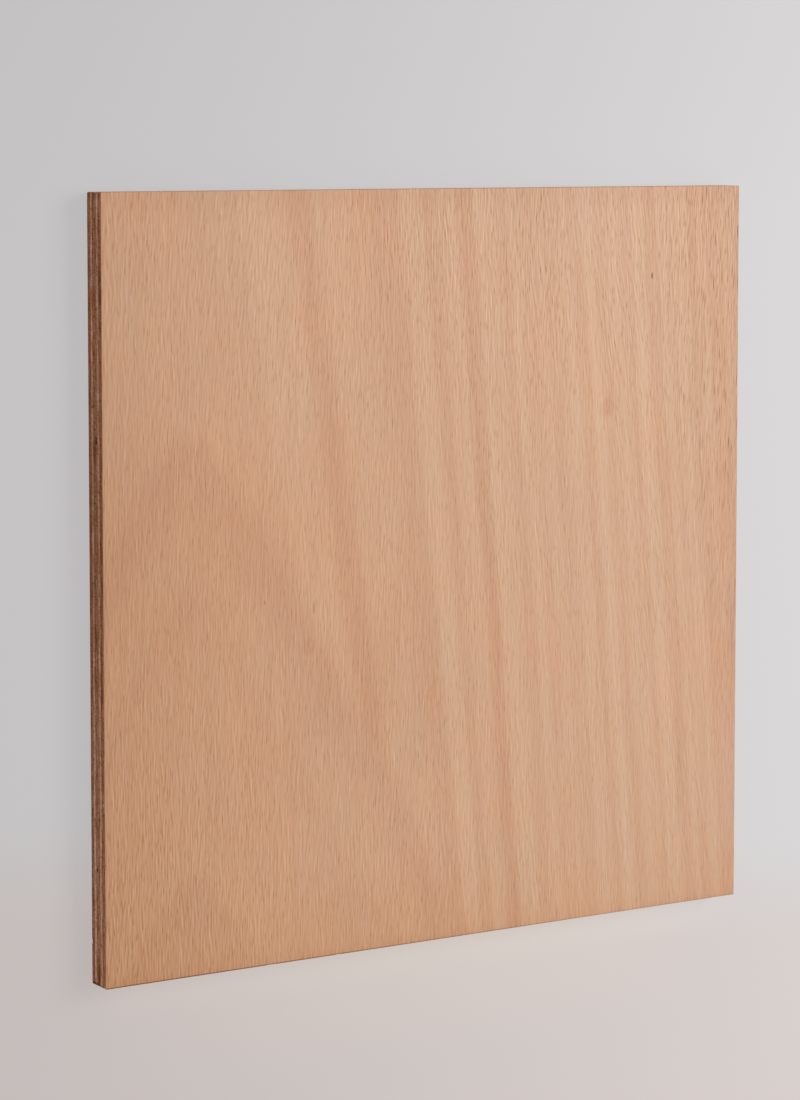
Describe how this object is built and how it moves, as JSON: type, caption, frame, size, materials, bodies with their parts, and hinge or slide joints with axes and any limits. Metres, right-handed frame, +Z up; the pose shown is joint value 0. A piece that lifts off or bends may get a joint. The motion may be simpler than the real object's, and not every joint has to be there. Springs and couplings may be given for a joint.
{
  "type": "plywood sheet",
  "caption": "Square plywood sheet, sawn to size and sanded, with cross-laid veneers that show on its edges.",
  "frame": {"origin": "middle of the back veneer's underside, which is the plane that the sheet lies on", "axes": "+Z up through the thickness to the good face, +Y along the grain of the face, +X across it"},
  "size_m": [0.4, 0.4, 0.015],
  "materials": {
    "sanded_face": "pale pinkish-brown rotary-cut hardwood veneer, sanded smooth, bare, with fine pores and soft straight figure",
    "long_ply": "sawn edge of a veneer whose grain runs along Y, light brown, bare",
    "cross_ply": "sawn edge of a veneer whose grain runs along X, dark brown end grain on the two X edges, bare"
  },
  "bodies": {
    "root": {"face_veneer": "sanded_face", "upper_crossband": "cross_ply", "upper_long_band": "long_ply", "core_strip_narrow": "cross_ply", "core_strip_wide": "cross_ply", "lower_long_band": "long_ply", "lower_crossband": "cross_ply", "back_veneer": "sanded_face"}
  },
  "joints": []
}
